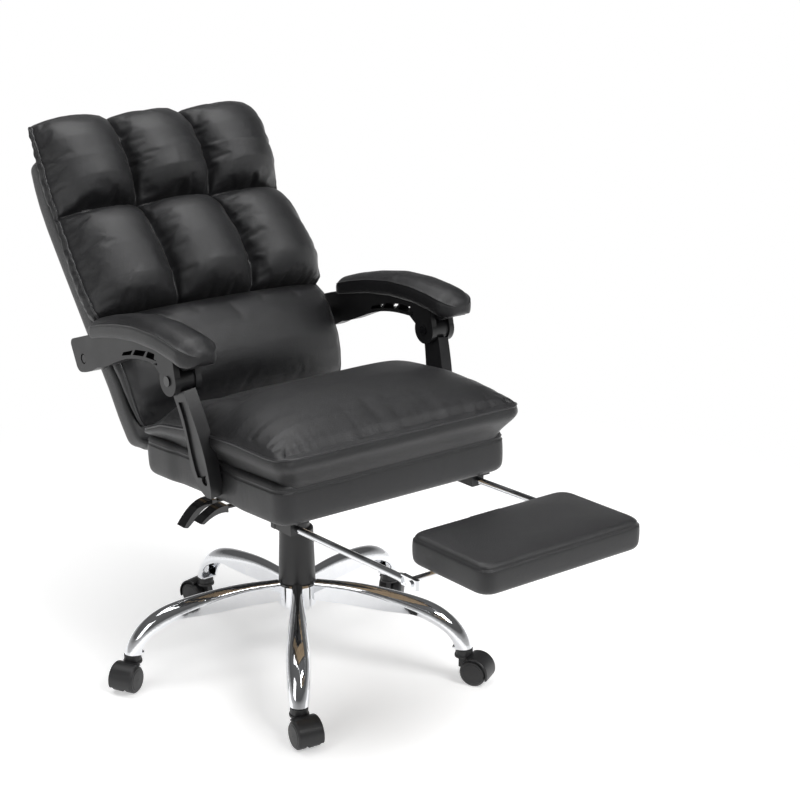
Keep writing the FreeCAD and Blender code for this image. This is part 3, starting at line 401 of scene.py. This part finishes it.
BLACK = (0.0088, 0.0088, 0.0098, 1.0)
leather = finish_from("black soft leather", "leather",
                      {"Tone": BLACK, "Grain": 850.0, "Gloss": 0.39}, 0.35, 0.0012,
                      Specular_IOR_Level=0.55, Sheen_Weight=0.04, Sheen_Roughness=0.4)
arm_leather = finish_from("black armrest leather", "leather",
                          {"Tone": (0.007, 0.007, 0.008, 1.0), "Grain": 700.0, "Gloss": 0.42},
                          0.35, 0.001, Specular_IOR_Level=0.5)
piping_leather = finish_from("black piping", "leather",
                             {"Tone": (0.02, 0.02, 0.0215, 1.0), "Grain": 1200.0, "Gloss": 0.36},
                             0.25, 0.0006, Specular_IOR_Level=0.55)
thread = finish_from("black sewing thread", "moulded",
                     {"Tone": (0.035, 0.035, 0.037, 1.0), "Texture": 3000.0, "Gloss": 0.5},
                     0.3, 0.0003)
arm_plastic = finish_from("black arm plastic", "moulded",
                          {"Tone": (0.010, 0.010, 0.0108, 1.0), "Texture": 1500.0, "Gloss": 0.38},
                          0.12, 0.0003, Specular_IOR_Level=0.5)
gloss_plastic = finish_from("gloss lever plastic", "moulded",
                            {"Tone": (0.008, 0.008, 0.009, 1.0), "Texture": 900.0, "Gloss": 0.16},
                            0.05, 0.0002, Coat_Weight=0.4, Coat_Roughness=0.08)
caster_nylon = finish_from("black caster nylon", "moulded",
                           {"Tone": (0.018, 0.018, 0.019, 1.0), "Texture": 1100.0, "Gloss": 0.42},
                           0.15, 0.0003)
black_steel = finish_from("black coated steel", "moulded",
                          {"Tone": (0.014, 0.014, 0.015, 1.0), "Texture": 800.0, "Gloss": 0.36},
                          0.3, 0.0004, Specular_IOR_Level=0.55)
chrome = finish_from("polished chrome", "metal",
                     {"Tone": (0.80, 0.81, 0.83, 1.0), "Gloss": 0.045, "Smudge": 0.07},
                     0.02, 0.0002, Metallic=1.0)
bright_steel = finish_from("zinc plated steel", "metal",
                           {"Tone": (0.52, 0.53, 0.55, 1.0), "Gloss": 0.28, "Smudge": 0.15},
                           0.1, 0.0003, Metallic=1.0)


def plywood_finish():
    material = bpy.data.materials.new("raw plywood")
    material.use_nodes = True
    tree = material.node_tree
    shader = tree.nodes["Principled BSDF"]
    place = add(tree, "ShaderNodeTexCoord").outputs["Object"]
    spread = add(tree, "ShaderNodeMapping", set_Scale=(6.0, 60.0, 60.0))
    tree.links.new(place, spread.inputs["Vector"])
    grain = add(tree, "ShaderNodeTexNoise", set_Scale=6.0, set_Detail=6.0, set_Roughness=0.6)
    tree.links.new(spread.outputs[0], grain.inputs["Vector"])
    tint = blend_colour(tree, grain.outputs[0], (0.42, 0.29, 0.17, 1.0), (0.62, 0.47, 0.3, 1.0))
    tree.links.new(tint, shader.inputs["Base Color"])
    shader.inputs["Roughness"].default_value = 0.75
    relief = add(tree, "ShaderNodeBump", set_Strength=0.3, set_Distance=0.0004)
    tree.links.new(grain.outputs[0], relief.inputs["Height"])
    tree.links.new(relief.outputs[0], shader.inputs["Normal"])
    return material


plywood = plywood_finish()

NODE_FINISH = {
    chrome: ("base_hub", "base_legs", "caster_sockets", "rail_connectors", "footrest_rails",
             "footrest_crossbar"),
    bright_steel: ("piston_rod", "thrust_bearing", "pressure_tube", "seat_bolts", "hinge_pin",
                   "back_bolts") + tuple("caster_stem_%d" % i for i in range(1, 6)),
    black_steel: ("arm_rear_bolts", "strut_bolts", "gas_cylinder", "mechanism_housing",
                  "hinge_bracket", "back_bracket", "recline_lock_rod", "height_lever_rod",
                  "recline_lever_rod"),
    arm_plastic: ("guide_bushing", "column_cover", "rail_guides", "arm_strut_left",
                  "arm_strut_right", "armrest_frame_left", "armrest_frame_right",
                  "footrest_clips"),
    gloss_plastic: ("height_lever_grip", "recline_lever_grip", "arm_pivot_pin_left",
                    "arm_pivot_pin_right"),
    leather: ("seat_base_pad", "seat_cushion", "back_shell", "back_cushion", "lumbar_cushion",
              "armrest_pad_left", "armrest_pad_right", "footrest_pad", "pull_tab"),
    plywood: ("seat_board", "footrest_board"),
    caster_nylon: tuple("caster_hood_%d" % i for i in range(1, 6))
    + tuple("caster_wheels_%d" % i for i in range(1, 6)),
}
for finish, names in NODE_FINISH.items():
    for name in names:
        nodes[name].data.materials.clear()
        nodes[name].data.materials.append(finish)

made = []

# Tufted back cushion: two rows of three puffs sewn down on one cover
LOW_S, SEAM_S, TOP_S = 0.237, 0.460, 0.674
LOW_STEPS, TOP_STEPS = 45, 43
TUFT = (
    # s, half width, side seam n, channel n
    (0.237, 0.242, 0.074, 0.086), (0.248, 0.252, 0.082, 0.098), (0.285, 0.258, 0.086, 0.110),
    (0.345, 0.257, 0.083, 0.108), (0.405, 0.252, 0.076, 0.096), (0.446, 0.248, 0.070, 0.082),
    (0.460, 0.246, 0.068, 0.076), (0.476, 0.248, 0.073, 0.083), (0.515, 0.252, 0.080, 0.095),
    (0.570, 0.252, 0.079, 0.092), (0.620, 0.251, 0.071, 0.077), (0.652, 0.249, 0.060, 0.060),
    (0.674, 0.243, 0.049, 0.047),
)


def tuft_s(v):
    """The place along the back of a row of the grid, with one row on the seam."""
    at = (v + 1.0) / 2.0 * (LOW_STEPS + TOP_STEPS)
    if at <= LOW_STEPS:
        return LOW_S + (SEAM_S - LOW_S) * at / LOW_STEPS
    return SEAM_S + (TOP_S - SEAM_S) * (at - LOW_STEPS) / TOP_STEPS


def tuft_back(s):
    """How far forward the cushion's rear face lies."""
    return between(((0.0, BACK_N), (0.620, BACK_N), (0.652, 0.046), (0.674, 0.040)), s)[0]


def tuft_front(u, s):
    """How far forward the puffs, channels and puckers lie."""
    half, side, channel = between(TUFT, s)
    puff = min(2, int((u + 1.0) / 2.0 * 3.0 + 1e-6))
    t = (u + 1.0) / 2.0 * 3.0 - puff
    left = side if puff == 0 else channel
    right = side if puff == 2 else channel
    base = left + (right - left) * t
    row = (s - LOW_S) / (SEAM_S - LOW_S) if s <= SEAM_S else (s - SEAM_S) / (TOP_S - SEAM_S)
    across = max(0.0, 1.0 - (2.0 * t - 1.0) ** 2)
    row = min(1.0, max(0.0, row))
    crown = 0.053 * across ** 0.55 * (1.0 - abs(2.0 * row - 1.0) ** 3.2) ** 0.5 + 0.009 * across
    near_side = min(t, 1.0 - t) * 2.0 * half / 3.0
    near_row = min(row, 1.0 - row) * 0.22
    pucker = math.exp(-near_side / 0.020) * fold(s, puff * 3.7 + (t > 0.5), 1.3, 0.012)
    pucker += 0.8 * math.exp(-near_row / 0.016) * fold(u * half, s > SEAM_S, 4.1, 0.015)
    inner_seam = abs(u) < 0.9 and near_side < 0.002
    notch = 0.009 if inner_seam or near_row < 0.0015 else 0.0
    return base + crown - notch + 0.0035 * pucker * min(1.0, (near_side + near_row) / 0.004)


def tuft_place(u, v, w):
    s = tuft_s(v)
    half = between(TUFT, s)[0]
    back = tuft_back(s)
    front = tuft_front(u, s)
    if w > 0.999:
        n = front
    else:
        n = back + (front - back) * (w + 1.0) / 2.0
    x = u * half
    bulge = 0.0
    if abs(u) > 0.999:
        bulge = 0.006 * math.sin(math.pi * (w + 1.0) / 2.0)
        bulge += 0.002 * fold(s, w * 0.01, 7.7, 0.011) * math.sin(math.pi * (w + 1.0) / 2.0)
    column = (u + 1.0) / 2.0 * 3.0
    on_seam = abs(column - round(column)) < 1e-4
    hump = 1.0 - (2.0 * (column - math.floor(min(column, 2.9999))) - 1.0) ** 2
    s += (0.012 * hump ** 0.6 - 0.009) * step(s, 0.590, TOP_S)
    on_row = abs(tuft_s(v) - SEAM_S) < 1e-5
    edge = abs(v) > 0.999
    fixed = w < -0.999 or (w > 0.999 and (on_seam or on_row or edge)) or (edge and abs(u) > 0.999)
    return on_back(s, x + math.copysign(bulge, u), n), fixed


tufted, sewn = shaped("tufted_cushion", (99, LOW_STEPS + TOP_STEPS, 7), tuft_place, leather,
                      "back")
inflate(tufted, sewn, 4.0, 0.034, 22, 0.022)
finer(tufted)
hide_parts("back_cushion")
made.append(tufted)

# Piping down both sides of the tufted cushion
side_piping("tufted_piping", tuft_place, 120, 0.0012, 0.0024)

# Lumbar cushion
LUMBAR_S, LUMBAR_LONG = 0.044, 0.190
LUMBAR = (
    # s, half width, side seam n, crest n
    (0.044, 0.218, 0.060, 0.064), (0.058, 0.225, 0.066, 0.082), (0.078, 0.231, 0.073, 0.106),
    (0.104, 0.236, 0.080, 0.126), (0.134, 0.240, 0.084, 0.138), (0.175, 0.243, 0.086, 0.143),
    (0.212, 0.244, 0.084, 0.132), (0.234, 0.239, 0.078, 0.104),
)


def lumbar_place(u, v, w):
    u = to_edges(u)
    s = LUMBAR_S + LUMBAR_LONG * (v + 1.0) / 2.0
    half, side, crest = between(LUMBAR, s)
    inner = 1.0 - abs(u) ** 2.6
    front = side + (crest - side) * inner ** 0.6
    near = (1.0 - abs(u)) * half
    front += 0.005 * math.exp(-near / 0.020) * fold(s, u > 0, 9.2, 0.010) * min(1.0, near / 0.004)
    n = BACK_N + (front - BACK_N) * (w + 1.0) / 2.0
    bulge = 0.005 * math.sin(math.pi * (w + 1.0) / 2.0) if abs(u) > 0.999 else 0.0
    fixed = w < -0.999 or (w > 0.999 and (abs(u) > 0.999 or abs(v) > 0.999))
    return on_back(s, u * half + math.copysign(bulge, u), n), fixed


lumbar, sewn = shaped("lumbar_support", (84, 36, 6), lumbar_place, leather, "back")
inflate(lumbar, sewn, 2.4, 0.004, 20, 0.014)
finer(lumbar)
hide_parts("lumbar_cushion")
made.append(lumbar)
side_piping("lumbar_piping", lumbar_place, 60, 0.0008, 0.0022)

# Seat cushion with a front roll and a sat-in middle
SEAT = (
    # y, half width, half width below, seam height, crown height over the base
    (-0.337, 0.252, 0.227, 0.054, 0.066), (-0.326, 0.254, 0.229, 0.053, 0.088),
    (-0.290, 0.255, 0.230, 0.052, 0.106), (-0.200, 0.255, 0.230, 0.056, 0.114),
    (-0.070, 0.254, 0.230, 0.053, 0.113), (0.040, 0.252, 0.229, 0.041, 0.092),
    (0.100, 0.249, 0.228, 0.022, 0.052), (0.127, 0.242, 0.224, 0.010, 0.026),
)
SEAT_FRONT, SEAT_REAR, CUSHION_GAP = -0.337, 0.127, 0.0002
# Rear limit at each height, where the lumbar cushion swings past: z, y
CLEAR_BACK = ((0.425, 0.129), (0.452, 0.110), (0.492, 0.086), (0.556, 0.051), (0.590, 0.041))


def sat_in(x, y):
    """How far a spot lies in the sat-in hollow, from 0 to 1, with a soft crease at its front."""
    crease = -0.118 + 0.05 * x - 0.9 * max(0.0, abs(x) - 0.12) ** 1.5
    return step(y, crease, crease + 0.030) * (1.0 - step(abs(x), 0.150, 0.235))


def seat_place(u, v, w):
    u, v = to_edges(u), to_edges(v)
    middle = (SEAT_FRONT + SEAT_REAR) / 2.0
    reach = (SEAT_REAR - SEAT_FRONT) / 2.0
    y_line = middle + v * reach
    half, low_half, seam, crown = between(SEAT, y_line)
    band = max(0.0, -w)
    top = max(0.0, w)
    inset = (half - low_half) * step(band, 0.28, 1.0)
    inset -= 0.003 * math.sin(math.pi * min(1.0, band / 0.5))
    inset += 0.010 * top ** 1.5
    x, dy = round_plan(u * half, v * reach, half, reach, 0.026)
    scale_x = (half - inset) / half
    scale_y = (reach - inset) / reach
    x *= scale_x
    y = middle + dy * scale_y
    base = CUSHION_GAP + BASE_TOP
    if w <= 0.0:
        z = base + seam * (1.0 - band)
    else:
        rise = crown - seam
        in_x, in_y = (1.0 - abs(u)) * half, (1.0 - abs(v)) * reach
        inward = min(in_x, in_y)
        dome = 0.30 + 0.70 * (1.0 - math.exp(-in_x / 0.038)) * (1.0 - math.exp(-in_y / 0.038))
        z = base + seam + rise * (0.30 * w if w < 0.999 else dome)
        if w > 0.999:
            z -= 0.019 * sat_in(x, y) * min(1.0, inward / 0.04)
            along = x if (1.0 - abs(v)) * reach < (1.0 - abs(u)) * half else y
            corner = math.exp(-math.hypot(abs(x) - 0.235, y + 0.315) / 0.09)
            pucker = fold(along, v > 0, 2.2, 0.011) + 0.5 * fold(along, v > 0, 5.2, 0.024)
            z += (0.0022 + 0.0018 * corner) * math.exp(-inward / (0.018 + 0.02 * corner)) * pucker
    if y < -0.15:
        z -= 0.004 * band * band
    spot = seat_point(x, y, z)
    rear = between(CLEAR_BACK, spot.z)[0]
    if spot.y > rear:
        spot.y += (rear - spot.y) * (1.0 - step(abs(x), 0.237, 0.247))
    return spot, w < 1e-4


seat, sewn = shaped("seat_top_cushion", (88, 82, 12), seat_place, leather, "seat")
inflate(seat, sewn, 0.8, 0.001, 16, 0.005, 8.0)
finer(seat)
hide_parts("seat_cushion")
made.append(seat)

SEAM_STEPS = 60
seam_line = round_walk(seat_place, 0.0, SEAM_STEPS)[0][:-1]
piping = tube("seat_piping", seam_line, 0.0025, piping_leather, "seat", True)
made.append(piping)

# Seat base: upholstered box with a stitched seam below its top edge
BASE_HALF, BASE_FRONT, BASE_REAR = 0.2415, -0.3105, 0.130
RIM, SEAM_DROP, SEAM_APART = 0.006, 0.0135, 0.0035
STITCH_GAP, STITCH_LONG, STITCH_R = 0.0048, 0.0034, 0.0004


def base_place(u, v, w):
    u, v = to_edges(u), to_edges(v)
    middle = (BASE_FRONT + BASE_REAR) / 2.0
    reach = (BASE_REAR - BASE_FRONT) / 2.0
    inset = 0.0065 * (abs(w) ** 8) - 0.0016 * (1.0 - w * w)
    level = BASE_TOP + RIM - SEAT_Z
    groove = (level * (1.0 - w) / 2.0 - SEAM_DROP) / 0.0022
    inset += 0.0016 * math.exp(-groove * groove)
    x, dy = round_plan(u * BASE_HALF, v * reach, BASE_HALF, reach, 0.026)
    x *= (BASE_HALF - inset) / BASE_HALF
    y = middle + dy * (reach - inset) / reach
    inward = min((1.0 - abs(u)) * BASE_HALF, (1.0 - abs(v)) * reach)
    z = SEAT_Z + (level - RIM * step(inward, 0.004, 0.014)) * (w + 1.0) / 2.0
    pinch = 0.0046 * step(y, -0.185, -0.145) * (1.0 - step(y, 0.010, 0.045))
    x -= math.copysign(pinch * step(abs(x), 0.200, 0.236), x)
    return seat_point(x, y, z), False


base, _ = shaped("seat_base_cover", (44, 40, 30), base_place, leather, "seat")
finer(base)
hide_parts("seat_base_pad")
made.append(base)

for label, drop in (("upper", SEAM_DROP - SEAM_APART), ("lower", SEAM_DROP + SEAM_APART)):
    level = BASE_TOP + RIM - SEAT_Z
    points, outward = round_walk(base_place, 1.0 - 2.0 * drop / level, SEAM_STEPS)
    made.append(stitches("seat_base_stitches_" + label, points, outward, STITCH_GAP, STITCH_LONG,
                         STITCH_R, thread, "seat"))

# Back shell
SHELL_LONG = 0.614
SHELL = (
    # s, half width, rear n, front n
    (0.0, 0.226, 0.008, 0.045), (0.014, 0.234, 0.0, 0.055), (0.070, 0.242, 0.0, 0.055),
    (0.128, 0.245, 0.0, 0.055), (0.192, 0.247, 0.0, 0.055), (0.278, 0.248, 0.0, 0.055),
    (0.373, 0.249, 0.0, 0.055), (0.466, 0.250, 0.0, 0.055), (0.545, 0.250, 0.0, 0.055),
    (0.594, 0.249, 0.0, 0.050), (0.614, 0.240, 0.009, 0.041),
)


def shell_place(u, v, w):
    reach = SHELL_LONG / 2.0
    s = SHELL_LONG * (v + 1.0) / 2.0
    half, rear, front = between(SHELL, s)
    x, along = round_plan(u * half, v * reach, half, reach, 0.030)
    s = along + reach
    inset = 0.012 * max(0.0, -w) ** 3 + 0.003 * max(0.0, w) ** 6
    x *= (half - inset) / half
    n = rear + (front - rear) * (w + 1.0) / 2.0
    if w < -0.999:
        n -= 0.004 * (1.0 - u * u) * (1.0 - v * v)
        n = max(n, 0.0) if s < 0.13 else n
    return on_back(max(0.0, s), x, n), False


shell, _ = shaped("back_shell_cover", (56, 66, 8), shell_place, leather, "back")
finer(shell)
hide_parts("back_shell")
made.append(shell)

# Armrest pads
ARM_PAD = (
    # y, low z, top z, half width
    (-0.144, 0.6480, 0.6950, 0.0375), (-0.120, 0.6530, 0.7010, 0.0380),
    (-0.090, 0.6600, 0.7060, 0.0380), (-0.040, 0.6670, 0.7110, 0.0380),
    (0.030, 0.6670, 0.7100, 0.0370), (0.100, 0.6590, 0.6990, 0.0340),
    (0.160, 0.6470, 0.6850, 0.0310), (0.218, 0.6340, 0.6670, 0.0270),
)
ARM_MID, ARM_MIDDLE, ARM_REACH = 0.275, 0.037, 0.181
FRONT_NOSE, REAR_NOSE = 0.034, 0.020


def nose(reach, radius):
    """Rounds an end: 0 at the tip, 1 beyond the radius."""
    return math.sqrt(max(0.0, 1.0 - (1.0 - min(1.0, reach / radius)) ** 2))


def arm_pad_place(u, v, w):
    v = to_edges(v, 0.44)
    y = ARM_MIDDLE + v * ARM_REACH
    low, top, half = between(ARM_PAD, y)
    end = min(nose(y - ARM_PAD[0][0], FRONT_NOSE), nose(ARM_PAD[-1][0] - y, REAR_NOSE))
    half *= 0.22 + 0.78 * end
    middle = low + 0.45 * (top - low)
    low = middle + (low - middle) * (0.25 + 0.75 * end)
    top = middle + (top - middle) * (0.25 + 0.75 * end)
    seam = (w - 0.25) / 0.08
    inset = half * (0.20 * max(0.0, w) ** 3 + 0.12 * max(0.0, -w) ** 4)
    inset += 0.0012 * math.exp(-seam * seam)
    fall = 0.24 * abs(u) ** 2.6 * step(w, 0.2, 1.0)
    z = low + (top - low) * ((w + 1.0) / 2.0 - fall)
    return Vector((ARM_MID + u * (half - inset), y, z)), False


for side, sign in (("left", 1), ("right", -1)):
    pad, _ = shaped("arm_pad_cover_" + side, (14, 56, 16), arm_pad_place, arm_leather,
                    "armrest_" + side)
    if sign < 0:
        for vert in pad.data.vertices:
            vert.co.x = -vert.co.x
        pad.data.flip_normals()
    finer(pad)
    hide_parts("armrest_pad_" + side)
    made.append(pad)

# Footrest pad
FOOT_HALF, FOOT_BACK, FOOT_FRONT = 0.1623, -0.530, -0.7076
FOOT_LOW, FOOT_T, FOOT_SEAM = 0.412, 0.0478, 0.0075


def foot_place(u, v, w):
    u, v = to_edges(u), to_edges(v)
    middle = (FOOT_BACK + FOOT_FRONT) / 2.0
    reach = (FOOT_BACK - FOOT_FRONT) / 2.0
    x, dy = round_plan(u * FOOT_HALF, v * reach, FOOT_HALF, reach, 0.022)
    inset = 0.008 * max(0.0, w) ** 6 + 0.004 * max(0.0, -w) ** 8 - 0.0015 * (1.0 - w * w)
    groove = (FOOT_T * (1.0 - w) / 2.0 - FOOT_SEAM) / 0.002
    inset += 0.0014 * math.exp(-groove * groove)
    x *= (FOOT_HALF - inset) / FOOT_HALF
    y = middle + dy * (reach - inset) / reach
    z = FOOT_LOW + FOOT_T * (w + 1.0) / 2.0
    if w > 0.999:
        z += 0.0045 * (1.0 - u ** 4) * (1.0 - v ** 4)
    return Vector((x, y, z)), False


foot, _ = shaped("footrest_cover", (36, 22, 26), foot_place, leather, "footrest")
finer(foot)
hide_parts("footrest_pad")
made.append(foot)
points, outward = round_walk(foot_place, 1.0 - 2.0 * (FOOT_SEAM + 0.003) / FOOT_T, 48)
made.append(stitches("footrest_stitches", points, outward, STITCH_GAP, STITCH_LONG, STITCH_R,
                     thread, "footrest"))

for piece in made:
    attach(piece, piece["body"])

# Floor, light and camera
floor_mesh = bpy.data.meshes.new("floor")
bm = bmesh.new()
bmesh.ops.create_grid(bm, x_segments=1, y_segments=1, size=9.0)
bm.to_mesh(floor_mesh)
bm.free()
floor = bpy.data.objects.new("floor", floor_mesh)
stage.collection.objects.link(floor)
paper = bpy.data.materials.new("pale floor")
paper.use_nodes = True
tree = paper.node_tree
shader = tree.nodes["Principled BSDF"]
shader.inputs["Base Color"].default_value = (0.86, 0.86, 0.86, 1.0)
shader.inputs["Roughness"].default_value = 0.9
shader.inputs["Specular IOR Level"].default_value = 0.1
seen = add(tree, "ShaderNodeLightPath")
lit = maths(tree, "MAXIMUM", seen.outputs["Is Camera Ray"], seen.outputs["Is Glossy Ray"])
near_glow = add(tree, "ShaderNodeEmission")
tree.links.new(maths(tree, "MULTIPLY", lit, 0.46), near_glow.inputs["Strength"])
near = add(tree, "ShaderNodeAddShader")
tree.links.new(shader.outputs[0], near.inputs[0])
tree.links.new(near_glow.outputs[0], near.inputs[1])
far = add(tree, "ShaderNodeEmission")
tree.links.new(maths(tree, "ADD", maths(tree, "MULTIPLY", lit, 0.6), 0.4), far.inputs["Strength"])
reach = add(tree, "ShaderNodeVectorMath", operation="LENGTH")
tree.links.new(add(tree, "ShaderNodeTexCoord").outputs["Object"], reach.inputs[0])
fade = add(tree, "ShaderNodeMapRange", interpolation_type="SMOOTHSTEP")
tree.links.new(reach.outputs["Value"], fade.inputs["Value"])
fade.inputs["From Min"].default_value = 0.7
fade.inputs["From Max"].default_value = 1.7
floor_mix = add(tree, "ShaderNodeMixShader")
tree.links.new(fade.outputs[0], floor_mix.inputs[0])
tree.links.new(near.outputs[0], floor_mix.inputs[1])
tree.links.new(far.outputs[0], floor_mix.inputs[2])
tree.links.new(floor_mix.outputs[0], tree.nodes["Material Output"].inputs["Surface"])
floor_mesh.materials.append(paper)

# White backdrop low down, dim studio above
world = bpy.data.worlds.new("studio")
stage.world = world
world.use_nodes = True
tree = world.node_tree
sky = tree.nodes["Background"]
sky.inputs["Color"].default_value = (1.0, 1.0, 1.0, 1.0)
seen = add(tree, "ShaderNodeLightPath")
heading = add(tree, "ShaderNodeSeparateXYZ")
tree.links.new(add(tree, "ShaderNodeTexCoord").outputs["Generated"], heading.inputs[0])
room = ramp(tree, heading.outputs["Z"], ((0.0, 0.56), (0.14, 0.42), (0.34, 0.10), (1.0, 0.14)))
tree.links.new(maths(tree, "MAXIMUM", seen.outputs["Is Camera Ray"], room), sky.inputs["Strength"])


def softbox(name, place, target, size, power):
    lamp = bpy.data.lights.new(name, "AREA")
    lamp.shape = "RECTANGLE"
    lamp.size, lamp.size_y = size
    lamp.energy = power
    holder = bpy.data.objects.new(name, lamp)
    stage.collection.objects.link(holder)
    holder.location = place
    way = Vector(target) - Vector(place)
    holder.rotation_euler = way.to_track_quat("-Z", "Y").to_euler()


softbox("key", (0.5, -2.7, 2.9), (0, 0, 0.5), (1.8, 1.3), 92.0)
softbox("top", (-0.2, 0.5, 3.3), (0, 0.1, 0.5), (2.4, 2.4), 70.0)
softbox("side", (-2.8, -0.6, 1.7), (0, 0, 0.5), (1.2, 1.8), 14.0)

# The camera of the photo: width, focal length and centre in pixels
WIDTH_PX, FOCAL_PX, CENTRE_X, CENTRE_Y, SENSOR = 800.0, 1635.17, 293.84, 401.72, 36.0
camera = bpy.data.cameras.new("camera")
camera.sensor_width = SENSOR
camera.lens = FOCAL_PX / WIDTH_PX * SENSOR
camera.shift_x = (WIDTH_PX / 2.0 - CENTRE_X) / WIDTH_PX
camera.shift_y = (CENTRE_Y - WIDTH_PX / 2.0) / WIDTH_PX
viewer = bpy.data.objects.new("camera", camera)
stage.collection.objects.link(viewer)
right = Vector((0.8187231537, -0.5739091691, -0.0179070706))
up = Vector((0.1792849035, 0.2258866847, 0.9575135138))
ahead = Vector((0.5454808163, 0.7871489512, -0.2878319088))
viewer.matrix_world = Matrix.Translation((-1.6189325, -2.3361794, 1.3651563)) @ Matrix(
    (right, up, -ahead)).transposed().to_4x4()
stage.camera = viewer
